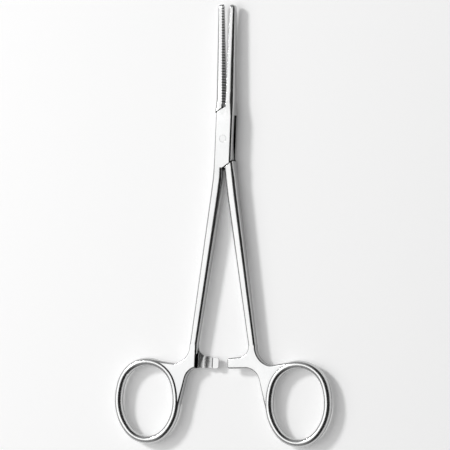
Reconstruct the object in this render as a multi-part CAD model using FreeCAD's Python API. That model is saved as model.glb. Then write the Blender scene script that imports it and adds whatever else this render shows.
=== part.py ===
import FreeCAD, Part
import math
import os

from FreeCAD import Vector

# Straight box-lock artery forceps, in millimetres. +Y runs to the jaw tips, +Z is up, and the origin is
# on the pivot's axis, level with the underside of the box. Each half is drawn closed and then turned.

# Opening of the two halves about the pivot, in degrees between them.
rest_opening = 3.7
closed_gap = 0.06
running_gap = 0.15

# Box lock. The tongue of one half passes through the slot between the cheeks of the other.
box_depth = 7.0
box_half_width = 3.9
box_edge_radius = 1.1
box_flat_reach = 9.2
shoulder_reach = 10.75
low_shoulder_reach = 12.2
low_corner_reach = 9.4
lock_foot_half_width = 4.15
lock_foot_depth = 6.45
lock_foot_radius = 1.25

# Slot and tongue.
slot_width = 2.5
slot_reach = 9.8
slot_end_inset = 0.4
tongue_gap = 0.05
tongue_end_gap = 0.35
tongue_side_inset = 0.4
tongue_root_length = 1.0

# Pivot pin, ground flush with both cheeks.
pin_radius = 1.5
pin_running_gap = 0.04

# Jaws. Each is a half round bar with a toothed flat face, thinner towards the tip.
tip_reach = 56.4
jaw_root_reach = 13.4
jaw_taper_length = 3.0
tip_thickness = 2.05
root_thickness = 3.55
tip_depth = 2.9
root_depth = 5.4
jaw_roundness = 0.72
tip_roundness = 0.85
face_relief = 0.35
tooth_pitch = 1.15
tooth_height = 0.42

# Shanks, which lean out from the pivot line and get thinner towards the rings.
shank_lean = 6.72
shank_cross_height = 2.3
shank_gap = 0.13
shank_neck_reach = 16.75
shank_top_reach = 24.0
shank_end_reach = 86.8
shank_run_in = 4.0
shank_top_width = 4.5
shank_top_depth = 5.6
shank_low_width = 3.5
shank_low_depth = 3.7
shank_roundness = 0.7

# Finger rings, set below and outside the end of the shank: an oval bar bent in four tangent arcs.
ring_set_out = 20.3
ring_drop = 24.8
ring_hole_half_width = 11.6
ring_hole_half_height = 14.8
ring_top_radius = 12.7
ring_low_radius = 11.4
ring_bar_width = 3.3
ring_bar_depth = 4.3
ring_bar_flats = 12

# Ratchet bars, one on each half, that pass one above the other.
ratchet_drop = 7.45
ratchet_height = 4.6
ratchet_overlap = 0.7
ratchet_corner_radius = 0.9
ratchet_pass_gap = 0.1
ratchet_root_inset = 0.75
ratchet_tooth_count = 3
ratchet_tooth_height = 0.85
ratchet_notch_width = 0.9
ratchet_draft = 0.1
ratchet_nose_drop = 0.3

# Gusset between shank, ratchet bar and ring.
gusset_edge_radius = 0.8
gusset_seat = 0.25
gusset_upper_run = 4.3
gusset_lower_run = 2.6
gusset_shoulder_run = 6.6
gusset_shoulder_dip = 1.5

mid_z = box_depth / 2
half_turn = rest_opening / 2
side_room = 3 * box_half_width
ratchet_reach = shank_end_reach + ratchet_drop
ring_centre_reach = shank_end_reach + ring_drop


def flat_wire(points):
    """Closed straight-sided outline at height zero."""
    corners = [Vector(x, y, 0) for x, y in points]
    return Part.makePolygon(corners + corners[:1])


def prism(outline, low_z, high_z):
    """Outline in plan made solid between two heights."""
    face = Part.Face(outline)
    face.translate(Vector(0, 0, low_z))
    return face.extrude(Vector(0, 0, high_z - low_z))


def through(points):
    """Outline in plan made solid through the whole depth and beyond it."""
    return prism(flat_wire(points), -box_depth, 2 * box_depth)


def arc(start, middle, end):
    """Circular edge through three points."""
    return Part.Arc(start, middle, end).toShape()


def rounded_section(x_low, x_high, y, depth, radius):
    """Rounded oblong across a bar at one station along it."""
    low = mid_z - depth / 2
    high = mid_z + depth / 2
    cut = radius * (1 - math.sqrt(0.5))

    def at(x, z):
        return Vector(x, y, z)

    return Part.Wire([
        Part.makeLine(at(x_low + radius, low), at(x_high - radius, low)),
        arc(at(x_high - radius, low), at(x_high - cut, low + cut), at(x_high, low + radius)),
        Part.makeLine(at(x_high, low + radius), at(x_high, high - radius)),
        arc(at(x_high, high - radius), at(x_high - cut, high - cut), at(x_high - radius, high)),
        Part.makeLine(at(x_high - radius, high), at(x_low + radius, high)),
        arc(at(x_low + radius, high), at(x_low + cut, high - cut), at(x_low, high - radius)),
        Part.makeLine(at(x_low, high - radius), at(x_low, low + radius)),
        arc(at(x_low, low + radius), at(x_low + cut, low + cut), at(x_low + radius, low)),
    ])


def bar(sections):
    """Straight-sided bar through sections, one stretch after the other."""
    stretches = [Part.makeLoft(sections[index:index + 2], True, True) for index in range(len(sections) - 1)]
    return stretches[0].fuse(stretches[1:]) if len(stretches) > 1 else stretches[0]


def lock_section(y):
    """Section of the lock where its depth is full."""
    return rounded_section(-box_half_width, box_half_width, y, box_depth, box_edge_radius)


def jaw_bar():
    """Both jaws as one bar, from the lock's flat part to the tip."""
    taper_end = jaw_root_reach + jaw_taper_length
    root_radius = jaw_roundness * root_depth / 2
    tip_radius = jaw_roundness * tip_depth / 2
    return bar([
        lock_section(box_flat_reach),
        rounded_section(-root_thickness, root_thickness, taper_end, root_depth, root_radius),
        rounded_section(-tip_thickness, tip_thickness, tip_reach, tip_depth, tip_radius),
    ])


def tip_rounding():
    """Space that the rounded jaw tip keeps, seen along X and seen along Z."""
    side_radius = tip_depth / 2
    side_start = tip_reach - side_radius
    side = Part.Wire([
        Part.makeLine(Vector(0, 0, mid_z - box_depth), Vector(0, side_start, mid_z - side_radius)),
        arc(Vector(0, side_start, mid_z - side_radius), Vector(0, tip_reach, mid_z),
            Vector(0, side_start, mid_z + side_radius)),
        Part.makeLine(Vector(0, side_start, mid_z + side_radius), Vector(0, 0, mid_z + box_depth)),
        Part.makeLine(Vector(0, 0, mid_z + box_depth), Vector(0, 0, mid_z - box_depth)),
    ])
    side_solid = Part.Face(side).extrude(Vector(2 * side_room, 0, 0))
    side_solid.translate(Vector(-side_room, 0, 0))
    radius = tip_roundness * tip_thickness
    cut = radius * (1 - math.sqrt(0.5))
    start = Vector(radius - tip_thickness, tip_reach, 0)
    end = Vector(-tip_thickness, tip_reach - radius, 0)
    corners = [Vector(-side_room, 0, 0), Vector(side_room, 0, 0), Vector(side_room, tip_reach, 0)]
    plan = Part.Wire([
        Part.makeLine(corners[0], corners[1]),
        Part.makeLine(corners[1], corners[2]),
        Part.makeLine(corners[2], start),
        arc(start, Vector(cut - tip_thickness, tip_reach - cut, 0), end),
        Part.makeLine(end, corners[0]),
    ])
    return side_solid.common(prism(plan, -box_depth, 2 * box_depth))


def jaw_space(first_tooth):
    """Everything on the jaw's own side of its toothed face. Teeth start at a share of the pitch."""
    tooth_count = int((tip_reach - jaw_root_reach) / tooth_pitch)

    def face_x(y):
        along = (tip_reach - y) / (tip_reach - jaw_root_reach)
        return -closed_gap / 2 - face_relief * max(along, 0)

    points = [(-side_room, 0), (face_x(0), 0)]
    start = tip_reach - (tooth_count - 0.5 + first_tooth) * tooth_pitch
    for index in range(tooth_count + 2):
        y = start + index * tooth_pitch
        points.append((face_x(y) - tooth_height / 2, y))
        points.append((face_x(y) + tooth_height / 2, y + tooth_pitch / 2))
    points.append((-side_room, tip_reach + 2 * tooth_pitch))
    return through(points)


def jaw(first_tooth):
    """Finished jaw on the -X side of the closing line."""
    return jaw_bar().common(tip_rounding()).common(jaw_space(first_tooth))


def shank_middle(reach):
    """Distance of the shank's centre line from the closing line, at a reach below the pivot."""
    return (reach + shank_cross_height) * math.tan(math.radians(shank_lean))


def shank():
    """Shank on the +X side, from the foot of the lock to the gusset."""
    top = shank_middle(shank_top_reach)
    low = shank_middle(shank_end_reach)
    top_radius = shank_roundness * shank_top_width / 2
    low_radius = shank_roundness * shank_low_width / 2
    low_side = (low - shank_low_width / 2, low + shank_low_width / 2)
    return bar([
        rounded_section(shank_gap, lock_foot_half_width, -low_shoulder_reach,
                        lock_foot_depth, lock_foot_radius),
        rounded_section(shank_gap, shank_gap + shank_top_width, -shank_neck_reach,
                        shank_top_depth, top_radius),
        rounded_section(top - shank_top_width / 2, top + shank_top_width / 2, -shank_top_reach,
                        shank_top_depth, top_radius),
        rounded_section(*low_side, -shank_end_reach, shank_low_depth, low_radius),
        rounded_section(*low_side, -shank_end_reach - shank_run_in, shank_low_depth, low_radius),
    ])


def ring_arcs():
    """Arcs of the ring's centre line: centre, radius, and first and last angle of the outward normal."""
    half_width = ring_hole_half_width + ring_bar_width / 2
    half_height = ring_hole_half_height + ring_bar_width / 2
    arcs = []
    for radius, up in ((ring_top_radius, 1), (ring_low_radius, -1)):
        rise = half_height - radius
        side_radius = (half_width ** 2 + rise ** 2 - radius ** 2) / (2 * (half_width - radius))
        side = side_radius - half_width
        turn = math.degrees(math.atan2(rise, side))
        first = 0 if up > 0 else 180
        arcs.append((-up * side, 0, side_radius, first, first + turn))
        arcs.append((0, up * rise, radius, first + turn, first + 180 - turn))
        arcs.append((up * side, 0, side_radius, first + 180 - turn, first + 180))
    return arcs


def ring_place(shape):
    """Ring drawn about its own centre, stood upright at rest and moved to its place beside the shank."""
    shape.rotate(Vector(0, 0, 0), Vector(0, 0, 1), -half_turn)
    shape.translate(Vector(shank_middle(shank_end_reach) + ring_set_out, -ring_centre_reach, 0))
    return shape


def ring_point(angle, outwards):
    """Point beside the ring's centre line, where the outward normal has an angle."""
    x, y, radius = next(row[:3] for row in ring_arcs() if row[3] <= angle <= row[4])
    point = Part.Vertex(Vector(radius + outwards, 0, 0))
    point.rotate(Vector(0, 0, 0), Vector(0, 0, 1), angle)
    point.translate(Vector(x, y, 0))
    return ring_place(point).Point


def ring_section(distance):
    """Flattened oval across the ring's bar, with its middle at a distance along X."""
    step = 2 * math.pi / ring_bar_flats
    grow = 1 / math.cos(step / 2)
    corners = [Vector(distance + grow * ring_bar_width / 2 * math.cos((index + 0.5) * step), 0,
                      mid_z + grow * ring_bar_depth / 2 * math.sin((index + 0.5) * step))
               for index in range(ring_bar_flats)]
    return Part.Face(Part.makePolygon(corners + corners[:1]))


def ring():
    """Finger ring: a bar bent round the hole in tangent arcs."""
    stretches = []
    for x, y, radius, first, last in ring_arcs():
        section = ring_section(radius)
        section.rotate(Vector(0, 0, 0), Vector(0, 0, 1), first)
        stretch = section.revolve(Vector(0, 0, 0), Vector(0, 0, 1), last - first)
        stretch.translate(Vector(x, y, 0))
        stretches.append(stretch)
    return ring_place(stretches[0].fuse(stretches[1:]))


def gusset(bar_side):
    """Gusset that joins shank, ring and ratchet. The ratchet is on the +Z or -Z side of the middle."""
    shank_x = shank_middle(shank_end_reach)
    bar_top = -ratchet_reach + ratchet_height / 2
    bar_low = -ratchet_reach - ratchet_height / 2
    bar_end = -ratchet_overlap
    corner = ratchet_corner_radius
    cut = corner * (1 - math.sqrt(0.5))
    seat = ring_bar_width / 2 - gusset_seat
    shank_in = Vector(shank_x - shank_low_width / 2, -shank_end_reach, 0)
    shank_out = Vector(shank_x + shank_low_width / 2, -shank_end_reach, 0)
    ring_top = ring_point(90, seat)
    shoulder = Vector(shank_out.x + gusset_shoulder_run, ring_top.y - gusset_shoulder_dip, 0)
    shoulder_middle = Vector(shank_out.x + 0.22 * gusset_shoulder_run,
                             shoulder.y + 0.38 * (shank_out.y - shoulder.y), 0)
    bar_root = Vector(shank_in.x - gusset_upper_run, bar_top + 0.08 * gusset_upper_run, 0)
    upper_middle = Vector(shank_in.x - 0.3 * gusset_upper_run, bar_top + 0.34 * gusset_upper_run, 0)
    low_root = Vector(shank_in.x - 0.3 * gusset_lower_run, bar_low, 0)
    lower_middle = Vector(shank_x + 0.45 * gusset_lower_run, bar_low - 0.62 * gusset_lower_run, 0)
    heel = Vector(shank_out.x + 0.5 * gusset_lower_run, bar_low - 1.9 * gusset_lower_run, 0)
    ring_side = ring_point(200, seat)
    shown = [
        arc(shank_in, upper_middle, bar_root),
        Part.makeLine(bar_root, Vector(bar_end + corner, bar_top, 0)),
        arc(Vector(bar_end + corner, bar_top, 0), Vector(bar_end + cut, bar_top - cut, 0),
            Vector(bar_end, bar_top - corner, 0)),
        Part.makeLine(Vector(bar_end, bar_top - corner, 0), Vector(bar_end, bar_low + corner, 0)),
        arc(Vector(bar_end, bar_low + corner, 0), Vector(bar_end + cut, bar_low + cut, 0),
            Vector(bar_end + corner, bar_low, 0)),
        Part.makeLine(Vector(bar_end + corner, bar_low, 0), low_root),
        arc(low_root, lower_middle, heel),
        Part.makeLine(heel, ring_side),
        Part.makeLine(ring_top, shoulder),
        arc(shoulder, shoulder_middle, shank_out),
    ]
    along_ring = [ring_side] + [ring_point(angle, 0) for angle in range(200, 89, -10)] + [ring_top]
    inside_ring = [Part.makeLine(*along_ring[index:index + 2]) for index in range(len(along_ring) - 1)]
    outline = Part.Wire(shown[:8] + inside_ring + shown[8:] + [Part.makeLine(shank_out, shank_in)])
    body = prism(outline, mid_z - shank_low_depth / 2, mid_z + shank_low_depth / 2)
    body = body.makeFillet(gusset_edge_radius, rims_over(body, shown))
    return body.cut(ratchet_relief(bar_side))


def rims_over(body, outline_edges):
    """Upper and lower edges of a prism that lie over or under edges of its outline."""
    middles = [edge.valueAt((edge.FirstParameter + edge.LastParameter) / 2) for edge in outline_edges]

    def matches(edge):
        middle = edge.valueAt((edge.FirstParameter + edge.LastParameter) / 2)
        return any(math.hypot(middle.x - other.x, middle.y - other.y) < 0.01 for other in middles)

    return [edge for edge in body.Edges if edge.BoundBox.ZLength < 0.001 and matches(edge)]


def ratchet_relief(bar_side):
    """Space cut from a ratchet bar so that the other passes: saw teeth with their steep sides inwards."""
    crest = mid_z + bar_side * ratchet_pass_gap / 2
    root = crest + bar_side * ratchet_tooth_height
    nose = crest + bar_side * ratchet_nose_drop
    far = mid_z - bar_side * box_depth
    inner = shank_middle(shank_end_reach) - shank_low_width / 2 + ratchet_root_inset
    pitch = (inner + ratchet_overlap) / ratchet_tooth_count
    outer = -ratchet_overlap - pitch
    points = [(outer, far), (outer, nose), (-ratchet_overlap, nose)]
    for index in range(ratchet_tooth_count):
        end = -ratchet_overlap + (index + 1) * pitch
        points.append((end - ratchet_notch_width, crest))
        points.append((end - ratchet_notch_width + ratchet_draft, root))
        points.append((end, root))
    points.append((points[-1][0], far))
    corners = [Vector(x, 0, z) for x, z in points]
    face = Part.Face(Part.makePolygon(corners + corners[:1]))
    face.translate(Vector(0, -ratchet_reach - 2 * ratchet_height, 0))
    return face.extrude(Vector(0, 4 * ratchet_height, 0))


def shoulder_points(gap):
    """Upper end of the cheeks, from the far side to the closing line, moved out by a gap."""
    return [(-box_half_width, shoulder_reach + gap), (face_relief + closed_gap / 2, jaw_root_reach + gap)]


def foot_points(gap):
    """Lower end of the cheeks, from the closing line to the far side, moved out by a gap."""
    return [(-closed_gap, -low_shoulder_reach - gap), (box_half_width, -low_corner_reach - gap),
            (side_room, -low_corner_reach - gap)]


def cheek_head():
    """Upper end of the cheeks on the -X side, with the section of the jaws."""
    inside = root_thickness / 2
    far, top = shoulder_points(0)
    points = [(-side_room, 0), (-side_room, far[1]), far, top, (inside, top[1]), (inside, 0)]
    return jaw_bar().common(through(points))


def lock_foot():
    """Lower end of the lock, still as wide as both halves, down to where the shanks part."""
    return bar([
        lock_section(-box_flat_reach),
        rounded_section(-lock_foot_half_width, lock_foot_half_width, -low_shoulder_reach,
                        lock_foot_depth, lock_foot_radius),
    ])


def cheek_foot():
    """Lower end of the cheeks, cut off along the line where the other shank starts."""
    points = [(-side_room, 0), (-side_room, -low_shoulder_reach)] + foot_points(0) + [(side_room, 0)]
    return lock_foot().common(through(points))


def shank_root():
    """The same stretch of the lock on the other half, which joins the tongue to its shank."""
    points = [(shank_gap, 0), (side_room, 0), (side_room, -2 * side_room), (shank_gap, -2 * side_room)]
    return lock_foot().common(through(points))


def cheek_room():
    """Room that the tongue half leaves for the cheeks, a running gap wider than they are."""
    far, top = shoulder_points(running_gap)
    foot = foot_points(running_gap)
    clear = -jaw_root_reach - 1
    return through([top, far, (-side_room, far[1]), (-side_room, clear), (foot[0][0], clear)] + foot
                   + [(side_room, top[1])])


def slot_space():
    """Slot through the box, open at both sides, with slanted end walls."""
    end = jaw_root_reach - slot_end_inset
    beyond = end + jaw_taper_length
    points = [
        (side_room, slot_reach), (box_half_width, slot_reach), (face_relief, end),
        (face_relief / 2, beyond), (-side_room, beyond),
        (-side_room, -slot_reach), (-box_half_width, -slot_reach), (-closed_gap, -end),
        (0, -beyond), (side_room, -beyond),
    ]
    return prism(flat_wire(points), mid_z - slot_width / 2, mid_z + slot_width / 2)


def tongue():
    """Tongue, which stays inside the slot while the half turns, with its roots in the jaw and the shank."""
    side = box_half_width - tongue_side_inset
    end = jaw_root_reach - slot_end_inset
    reach = slot_reach - tongue_end_gap
    root = tongue_root_length
    points = [
        (side - tongue_side_inset / 2, reach), (-face_relief / 2, end - tongue_end_gap),
        (-root * 2 / 3, end + root), (-side, shoulder_reach + root),
        (-side, -reach), (-closed_gap, -end + 2 * tongue_end_gap),
        (root * 2 / 3, -end - root / 2), (side - tongue_side_inset, -shoulder_reach - root),
    ]
    return prism(flat_wire(points), mid_z - slot_width / 2 + tongue_gap, mid_z + slot_width / 2 - tongue_gap)


def pin_hole(radius):
    """Cylinder on the pivot's axis, longer than the box is deep."""
    return Part.makeCylinder(radius, 3 * box_depth, Vector(0, 0, -box_depth), Vector(0, 0, 1))


def turned(shape, angle):
    """A half, turned about the pivot."""
    shape.rotate(Vector(0, 0, 0), Vector(0, 0, 1), angle)
    return shape


def mirrored(shape):
    """The same form on the other side of the closing line."""
    return shape.mirror(Vector(0, 0, 0), Vector(1, 0, 0))


def lower_half(bar_side):
    """Shank, gusset, ratchet bar and ring on the +X side."""
    return shank().fuse([gusset(bar_side), ring()])


def box_half():
    """Half with the slotted box: jaw on +X, shank, ring and lower ratchet bar on -X."""
    block = Part.Face(lock_section(-box_flat_reach)).extrude(Vector(0, 2 * box_flat_reach, 0))
    whole = block.fuse([mirrored(jaw(0.5)), cheek_head(), cheek_foot(), mirrored(lower_half(-1))])
    whole = whole.cut(slot_space()).cut(pin_hole(pin_radius))
    return turned(whole.removeSplitter(), -half_turn)


def tongue_half():
    """Half with the tongue: jaw on -X, shank, ring and upper ratchet bar on +X."""
    whole = jaw(0).fuse([shank_root(), lower_half(1)]).cut(cheek_room())
    whole = whole.fuse(tongue()).cut(pin_hole(pin_radius + pin_running_gap))
    return turned(whole.removeSplitter(), half_turn)


def pivot_pin():
    """Plain pin through both cheeks and the tongue."""
    return Part.makeCylinder(pin_radius, box_depth, Vector(0, 0, 0), Vector(0, 0, 1))


os.makedirs("parts", exist_ok=True)
for name, shape in (("box_half", box_half()), ("tongue_half", tongue_half()), ("pivot_pin", pivot_pin())):
    shape.exportStep("parts/" + name + ".step")
    print(name, "solids", len(shape.Solids), "valid", shape.isValid(), "volume", round(shape.Volume, 1))
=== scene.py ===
import math

import bmesh
import bpy
from mathutils import Matrix, Vector


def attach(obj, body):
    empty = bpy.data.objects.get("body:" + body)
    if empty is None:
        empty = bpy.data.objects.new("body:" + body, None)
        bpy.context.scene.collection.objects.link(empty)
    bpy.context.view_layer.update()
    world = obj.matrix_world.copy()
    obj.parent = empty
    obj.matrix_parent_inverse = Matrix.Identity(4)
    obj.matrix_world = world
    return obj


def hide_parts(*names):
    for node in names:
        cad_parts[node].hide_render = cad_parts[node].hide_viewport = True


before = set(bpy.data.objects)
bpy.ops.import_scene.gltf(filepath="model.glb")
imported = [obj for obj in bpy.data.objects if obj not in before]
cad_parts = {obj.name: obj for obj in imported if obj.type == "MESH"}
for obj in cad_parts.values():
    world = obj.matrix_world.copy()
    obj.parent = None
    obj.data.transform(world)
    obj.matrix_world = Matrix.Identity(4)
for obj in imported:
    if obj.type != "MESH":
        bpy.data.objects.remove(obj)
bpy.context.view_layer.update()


# ---- Box half ----
# One drop forging in stainless steel: jaw, slotted box lock, shank and ratchet
# bar. It is ground along its length and given a satin finish. Its colour carries
# painted shade, near black, in the tooth grooves and joints, which are also
# rougher, as the wheel and the cloth don't reach there.
def add_socket(tree, way, kind, name, value=None):
    kind = "NodeSocket" + kind
    socket = tree.interface.new_socket(name=name, in_out=way, socket_type=kind)
    if value is not None:
        socket.default_value = value


def mapped(tree, value, start=(0.0, 1.0), end=(0.0, 1.0), curve="LINEAR"):
    node = tree.nodes.new("ShaderNodeMapRange")
    node.interpolation_type = curve
    names = ("From Min", "From Max", "To Min", "To Max")
    for name, number in zip(names, (*start, *end)):
        node.inputs[name].default_value = number
    tree.links.new(value, node.inputs["Value"])
    return node.outputs[0]


def worked_steel_and_painted_shade_group():
    group = bpy.data.node_groups.new("worked_steel_and_painted_shade", "ShaderNodeTree")
    for name, value in (
        ("Grain Size", 5200.0),
        ("Stretch", 0.045),
        ("Cloud Size", 70.0),
        ("Painted Shade Reach", 0.0012),
        ("Edge Width", 0.00016),
    ):
        add_socket(group, "INPUT", "Float", name, value)
    add_socket(group, "INPUT", "Vector", "Place")
    for name in ("Grain", "Cloud", "Painted Shade", "Edge"):
        add_socket(group, "OUTPUT", "Float", name)
    add_socket(group, "OUTPUT", "Vector", "Soft Normal")
    nodes, links = group.nodes, group.links
    given = nodes.new("NodeGroupInput")
    out = nodes.new("NodeGroupOutput")

    # Grinding lines: noise drawn out along the length of the forging.
    along = nodes.new("ShaderNodeCombineXYZ")
    along.inputs["X"].default_value = 1.0
    along.inputs["Z"].default_value = 1.0
    links.new(given.outputs["Stretch"], along.inputs["Y"])
    drawn = nodes.new("ShaderNodeVectorMath")
    drawn.operation = "MULTIPLY"
    links.new(given.outputs["Place"], drawn.inputs[0])
    links.new(along.outputs[0], drawn.inputs[1])
    grain = nodes.new("ShaderNodeTexNoise")
    grain.inputs["Detail"].default_value = 3.0
    grain.inputs["Roughness"].default_value = 0.6
    links.new(drawn.outputs[0], grain.inputs["Vector"])
    links.new(given.outputs["Grain Size"], grain.inputs["Scale"])
    links.new(grain.outputs[0], out.inputs["Grain"])

    # Broad clouds of tone, as a hand-held forging leaves the wheel.
    cloud = nodes.new("ShaderNodeTexNoise")
    cloud.inputs["Detail"].default_value = 4.0
    links.new(given.outputs["Place"], cloud.inputs["Vector"])
    links.new(given.outputs["Cloud Size"], cloud.inputs["Scale"])
    links.new(cloud.outputs[0], out.inputs["Cloud"])

    # Painted shade: darkens the colour in tooth grooves and joints, where little sky
    # is open.
    open_face, deep_groove = 0.91, 0.75
    hollow = nodes.new("ShaderNodeAmbientOcclusion")
    hollow.samples = 8
    links.new(given.outputs["Painted Shade Reach"], hollow.inputs["Distance"])
    painted_shade = mapped(
        group, hollow.outputs["AO"], (open_face, deep_groove), curve="SMOOTHSTEP"
    )
    links.new(painted_shade, out.inputs["Painted Shade"])

    # Edges, where the softened normal turns away from the flat one.
    flat_face, full_edge = 0.995, 0.93
    round_edge = nodes.new("ShaderNodeBevel")
    round_edge.samples = 6
    links.new(given.outputs["Edge Width"], round_edge.inputs["Radius"])
    links.new(round_edge.outputs[0], out.inputs["Soft Normal"])
    flat = nodes.new("ShaderNodeNewGeometry")
    turn = nodes.new("ShaderNodeVectorMath")
    turn.operation = "DOT_PRODUCT"
    links.new(round_edge.outputs[0], turn.inputs[0])
    links.new(flat.outputs["Normal"], turn.inputs[1])
    edge = mapped(group, turn.outputs["Value"], (flat_face, full_edge))
    links.new(edge, out.inputs["Edge"])
    return group


worked_steel_and_painted_shade = worked_steel_and_painted_shade_group()


def straight_grain(tree):
    return tree.nodes.new("ShaderNodeTexCoord").outputs["Object"]


def calculated(tree, operation, *values):
    node = tree.nodes.new("ShaderNodeMath")
    node.operation = operation
    for socket, value in zip(node.inputs, values):
        if isinstance(value, float):
            socket.default_value = value
        else:
            tree.links.new(value, socket)
    return node.outputs[0]


def steel(
    name, dull, bright, painted_shade_colour, smooth, rough, grain_depth, grain_place=straight_grain
):
    material = bpy.data.materials.new(name)
    material.use_nodes = True
    tree = material.node_tree
    nodes, links = tree.nodes, tree.links
    shader = nodes["Principled BSDF"]
    shader.inputs["Metallic"].default_value = 1.0
    finish = nodes.new("ShaderNodeGroup")
    finish.node_tree = worked_steel_and_painted_shade
    links.new(grain_place(tree), finish.inputs["Place"])

    def blend(factor, low, high):
        mix = nodes.new("ShaderNodeMix")
        mix.data_type = "RGBA"
        amount, first, second = mix.inputs[0], mix.inputs[6], mix.inputs[7]
        links.new(factor, amount)
        for socket, value in ((first, low), (second, high)):
            if isinstance(value, tuple):
                socket.default_value = (*value, 1.0)
            else:
                links.new(value, socket)
        return mix.outputs[2]

    tone = blend(finish.outputs["Cloud"], dull, bright)
    worn = blend(finish.outputs["Edge"], tone, bright)
    # Painted shade: the colour goes to near black in grooves and joints.
    colour = blend(finish.outputs["Painted Shade"], worn, painted_shade_colour)
    links.new(colour, shader.inputs["Base Color"])

    groove_roughness = 0.35
    gloss = mapped(tree, finish.outputs["Grain"], end=(smooth, rough))
    painted_shade = finish.outputs["Painted Shade"]
    duller = calculated(tree, "MULTIPLY_ADD", painted_shade, groove_roughness, gloss)
    links.new(duller, shader.inputs["Roughness"])

    bump = nodes.new("ShaderNodeBump")
    bump.inputs["Strength"].default_value = 1.0
    bump.inputs["Distance"].default_value = grain_depth
    links.new(finish.outputs["Grain"], bump.inputs["Height"])
    links.new(finish.outputs["Soft Normal"], bump.inputs["Normal"])
    links.new(bump.outputs[0], shader.inputs["Normal"])
    return material


satin_steel = steel(
    "satin_steel_finish",
    dull=(0.47, 0.475, 0.48),
    bright=(0.63, 0.63, 0.625),
    painted_shade_colour=(0.015, 0.015, 0.015),
    smooth=0.15,
    rough=0.31,
    grain_depth=0.000002,
)


def placed(name, data):
    thing = bpy.data.objects.new(name, data)
    bpy.context.scene.collection.objects.link(thing)
    return thing


def ground_forging(name, node, body, finish):
    same_point, crease = 0.000001, math.radians(35.0)
    half = bmesh.new()
    half.from_mesh(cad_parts[node].data)
    bmesh.ops.remove_doubles(half, verts=half.verts, dist=same_point)
    points = [corner.co.copy() for corner in half.verts]
    faces = [[corner.index for corner in face.verts] for face in half.faces]
    half.free()
    mesh = bpy.data.meshes.new(name)
    mesh.from_pydata(points, [], faces)
    mesh.shade_smooth()
    mesh.set_sharp_from_angle(angle=crease)
    mesh.materials.append(finish)
    piece = placed(name, mesh)
    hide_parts(node)
    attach(piece, body)


ground_forging("box_forging", "box_half", "box_side", satin_steel)


# ---- Tongue half ----
# The second forging, whose thin tongue is passed through the hot-opened slot of
# the box. The same steel and the same satin finish as its mate.
ground_forging(
    "tongue_forging", "tongue_half", "tongue_side", satin_steel
)


# ---- Finger rings ----
# The end of each forging, bent to an oval round the finger hole and ground to an
# oval section all the way round, then polished brighter than the rest by use.
hole_half_width, hole_half_height = 0.0116, 0.0148
bow_top_radius, bow_low_radius = 0.0127, 0.0114
bow_width, bow_depth, bow_flats = 0.0033, 0.0043, 48
bow_centre, bow_middle = (0.034385, -0.110547), 0.0035


def bow_bar_tree():
    tree = bpy.data.node_groups.new("bow_bar", "GeometryNodeTree")
    add_socket(tree, "INPUT", "Geometry", "Bow Line")
    add_socket(tree, "INPUT", "Float", "Bar Width", bow_width)
    add_socket(tree, "INPUT", "Float", "Bar Depth", bow_depth)
    add_socket(tree, "INPUT", "Int", "Flats", bow_flats)
    add_socket(tree, "INPUT", "Material", "Finish")
    add_socket(tree, "OUTPUT", "Geometry", "Bow")
    nodes, links = tree.nodes, tree.links
    given = nodes.new("NodeGroupInput")
    out = nodes.new("NodeGroupOutput")
    upright = nodes.new("GeometryNodeSetCurveNormal")
    upright.mode = "Z_UP"
    links.new(given.outputs["Bow Line"], upright.inputs["Curve"])
    section = nodes.new("GeometryNodeCurvePrimitiveCircle")
    section.inputs["Radius"].default_value = 0.5
    links.new(given.outputs["Flats"], section.inputs["Resolution"])
    oval = nodes.new("ShaderNodeCombineXYZ")
    oval.inputs["Z"].default_value = 1.0
    links.new(given.outputs["Bar Width"], oval.inputs["X"])
    links.new(given.outputs["Bar Depth"], oval.inputs["Y"])
    flattened = nodes.new("GeometryNodeTransform")
    links.new(section.outputs["Curve"], flattened.inputs["Geometry"])
    links.new(oval.outputs[0], flattened.inputs["Scale"])
    bend = nodes.new("GeometryNodeCurveToMesh")
    links.new(upright.outputs["Curve"], bend.inputs["Curve"])
    links.new(flattened.outputs["Geometry"], bend.inputs["Profile Curve"])
    soft = nodes.new("GeometryNodeSetShadeSmooth")
    links.new(bend.outputs["Mesh"], soft.inputs["Geometry"])
    whole = nodes.new("GeometryNodeRealizeInstances")
    links.new(soft.outputs[0], whole.inputs[0])
    finish = nodes.new("GeometryNodeSetMaterial")
    links.new(whole.outputs[0], finish.inputs["Geometry"])
    links.new(given.outputs["Finish"], finish.inputs["Material"])
    links.new(finish.outputs[0], out.inputs["Bow"])
    return tree


bow_bar = bow_bar_tree()


# The bar's middle line: three arcs above and three below, each in one tangent
# with the next, half a bar outside the finger hole.
def bow_line():
    steps_per_arc = 20
    half_width = hole_half_width + bow_width / 2
    half_height = hole_half_height + bow_width / 2
    points = []
    for radius, up in ((bow_top_radius, 1), (bow_low_radius, -1)):
        rise = half_height - radius
        slack = 2 * (half_width - radius)
        side_radius = (half_width**2 + rise**2 - radius**2) / slack
        side = side_radius - half_width
        turn = math.atan2(rise, side)
        first = 0.0 if up > 0 else math.pi
        for x, y, bend, start, end in (
            (-up * side, 0.0, side_radius, first, first + turn),
            (0.0, up * rise, radius, first + turn, first + math.pi - turn),
            (up * side, 0.0, side_radius, first + math.pi - turn, first + math.pi),
        ):
            for step in range(steps_per_arc):
                angle = start + (end - start) * step / steps_per_arc
                points.append((x + bend * math.cos(angle), y + bend * math.sin(angle)))
    return points


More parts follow.
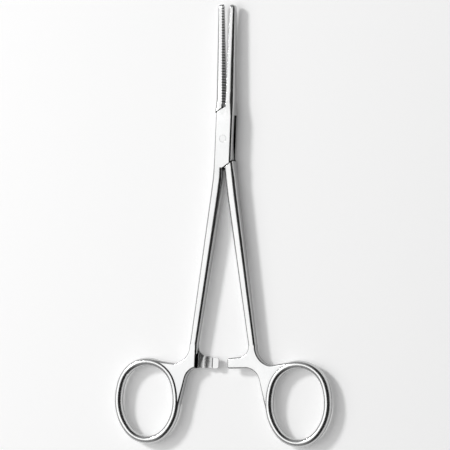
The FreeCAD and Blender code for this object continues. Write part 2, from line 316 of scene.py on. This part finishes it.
# The same grain, but laid round the finger hole: the distance from its centre,
# and the way round it.
def bow_grain(tree):
    place = tree.nodes.new("ShaderNodeSeparateXYZ")
    tree.links.new(straight_grain(tree), place.inputs[0])
    outward = calculated(tree, "ABSOLUTE", place.outputs["X"])
    across = calculated(tree, "SUBTRACT", outward, bow_centre[0])
    down = calculated(tree, "SUBTRACT", place.outputs["Y"], bow_centre[1])
    down = calculated(tree, "MULTIPLY", down, hole_half_width / hole_half_height)
    across_squared = calculated(tree, "MULTIPLY", across, across)
    down_squared = calculated(tree, "MULTIPLY", down, down)
    squared = calculated(tree, "ADD", across_squared, down_squared)
    reach = calculated(tree, "SQRT", squared)
    turn = calculated(tree, "ARCTAN2", down, across)
    round_bow = calculated(tree, "MULTIPLY", turn, hole_half_height)
    bent = tree.nodes.new("ShaderNodeCombineXYZ")
    for socket, value in zip(bent.inputs, (reach, round_bow, place.outputs["Z"])):
        tree.links.new(value, socket)
    return bent.outputs[0]


# Its colour carries the same painted shade, near black, in recesses.
bow_steel = steel(
    "bow_steel_finish",
    dull=(0.53, 0.535, 0.54),
    bright=(0.68, 0.68, 0.675),
    painted_shade_colour=(0.015, 0.015, 0.015),
    smooth=0.14,
    rough=0.28,
    grain_depth=0.0000015,
    grain_place=bow_grain,
)


# The bar is laid over the ring of the solid, so it is a little thicker than that.
def finger_ring(name, side, body):
    bow_cover = 1.055
    line = bpy.data.curves.new(name + "_line", "CURVE")
    line.dimensions = "3D"
    path = line.splines.new("POLY")
    points = bow_line()
    path.points.add(len(points) - 1)
    for point, (x, y) in zip(path.points, points):
        point.co = (side * bow_centre[0] + x, bow_centre[1] + y, bow_middle, 1.0)
    path.use_cyclic_u = True
    blank = placed(name + "_line", line)
    bending = blank.modifiers.new("bow_bar", "NODES")
    bending.node_group = bow_bar
    sizes = {
        "Bar Width": bow_width * bow_cover,
        "Bar Depth": bow_depth * bow_cover,
        "Flats": bow_flats,
        "Finish": bow_steel,
    }
    for item in bow_bar.interface.items_tree:
        if item.in_out == "INPUT" and item.name in sizes:
            bending[item.identifier] = sizes[item.name]
    depsgraph = bpy.context.evaluated_depsgraph_get()
    mesh = bpy.data.meshes.new_from_object(blank.evaluated_get(depsgraph))
    mesh.name = name
    bpy.data.objects.remove(blank)
    ring = placed(name, mesh)
    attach(ring, body)


finger_ring("box_finger_ring", -1, "box_side")
finger_ring("tongue_finger_ring", 1, "tongue_side")


# ---- Pivot pin ----
# A short hard steel pin, pressed through both cheeks and ground off level with
# them, so that only a fine ring shows round its end.
# The fine ring round the pin's end is deepened by painted shade in its colour.
pin_steel = steel(
    "pin_steel_finish",
    dull=(0.455, 0.46, 0.465),
    bright=(0.61, 0.61, 0.605),
    painted_shade_colour=(0.03, 0.03, 0.03),
    smooth=0.16,
    rough=0.32,
    grain_depth=0.0000015,
)
pivot_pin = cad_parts["pivot_pin"]
pivot_pin.material_slots[0].material = pin_steel


# ---- Studio ----
# A pale table in a pale room, under a soft box over the left and a smaller key
# lamp at the upper left. A flag of black felt at the right, seen only in
# reflections, gives the right-hand sides of the steel their dark edge.
def board(name, corners, finish, shade, roughness):
    mesh = bpy.data.meshes.new(name)
    mesh.from_pydata(corners, [], [(0, 1, 2, 3)])
    material = bpy.data.materials.new(finish)
    material.use_nodes = True
    shader = material.node_tree.nodes["Principled BSDF"]
    shader.inputs["Base Color"].default_value = (shade, shade, shade, 1.0)
    shader.inputs["Roughness"].default_value = roughness
    mesh.materials.append(material)
    return placed(name, mesh)


def table_top():
    half, glow = 9.0, 0.22
    corners = [(-half, -half), (half, -half), (half, half), (-half, half)]
    corners = [(x, y, 0.0) for x, y in corners]
    top = board("table_top", corners, "pale_table", shade=0.88, roughness=0.9)
    tree = top.active_material.node_tree
    shader = tree.nodes["Principled BSDF"]
    shader.inputs["Specular IOR Level"].default_value = 0.1
    shader.inputs["Emission Color"].default_value = (1.0, 1.0, 1.0, 1.0)
    ray = tree.nodes.new("ShaderNodeLightPath")
    camera, glossy = ray.outputs["Is Camera Ray"], ray.outputs["Is Glossy Ray"]
    seen = calculated(tree, "ADD", camera, glossy)
    through = ray.outputs["Is Transmission Ray"]
    seen = calculated(tree, "ADD", seen, through)
    lift = calculated(tree, "MULTIPLY", seen, glow)
    tree.links.new(lift, shader.inputs["Emission Strength"])


def dark_flag():
    near, tall, long = 0.16, 0.24, 0.40
    corners = [(-long, 0.0), (long, 0.0), (long, tall), (-long, tall)]
    corners = [(near, y, z) for y, z in corners]
    flag = board("dark_flag", corners, "black_felt", shade=0.01, roughness=1.0)
    flag.visible_camera = False
    flag.visible_diffuse = False
    flag.visible_shadow = False


table_top()
dark_flag()


def soft_box(name, place, width, height, power):
    aim = Vector((0.0, -0.04, 0.0))
    light = bpy.data.lights.new(name, "AREA")
    light.shape = "RECTANGLE"
    light.size = width
    light.size_y = height
    light.energy = power
    lamp = placed(name, light)
    lamp.location = place
    lamp.rotation_euler = (aim - Vector(place)).to_track_quat("-Z", "Y").to_euler()


soft_box("wide_box", (-0.45, -0.04, 0.81), width=0.60, height=1.20, power=3.1)
soft_box("key_lamp", (-1.20, 0.70, 1.20), width=0.30, height=0.30, power=18.5)


def pale_room():
    right_wall, left_wall = 0.25, -0.30
    dark, pale = 0.04, 0.36
    world = bpy.data.worlds.new("studio")
    bpy.context.scene.world = world
    world.use_nodes = True
    room = world.node_tree
    direction = room.nodes.new("ShaderNodeTexCoord")
    sides = room.nodes.new("ShaderNodeSeparateXYZ")
    room.links.new(direction.outputs["Generated"], sides.inputs[0])
    across = sides.outputs["X"]
    walls = mapped(room, across, (right_wall, left_wall), (dark, pale), "SMOOTHSTEP")
    background = room.nodes["Background"]
    background.inputs["Color"].default_value = (1.0, 1.0, 1.0, 1.0)
    room.links.new(walls, background.inputs["Strength"])


pale_room()


# ---- Camera ----
# A long lens, well above the table and leaning to the right by 23 degrees from
# straight above, with the jaws at the top of the picture.
def photo_camera():
    lean, roll = math.radians(23.0), math.radians(0.66)
    distance = 3.145
    aim = Vector((0.0, -0.0362, 0.0035))
    back = Vector((math.sin(lean), 0.0, math.cos(lean)))
    up = Vector((0.0, 1.0, 0.0))
    right = up.cross(back)
    turned_up = up * math.cos(roll) - right * math.sin(roll)
    turned_right = turned_up.cross(back)
    turn = Matrix((turned_right, turned_up, back)).transposed().to_4x4()
    camera = placed("camera", bpy.data.cameras.new("camera"))
    camera.data.lens = 600.0
    camera.data.sensor_width = 36.0
    camera.data.clip_start = 0.05
    camera.data.clip_end = 20.0
    camera.matrix_world = Matrix.Translation(aim + back * distance) @ turn
    bpy.context.scene.camera = camera


photo_camera()
bpy.context.scene.view_settings.view_transform = "Standard"
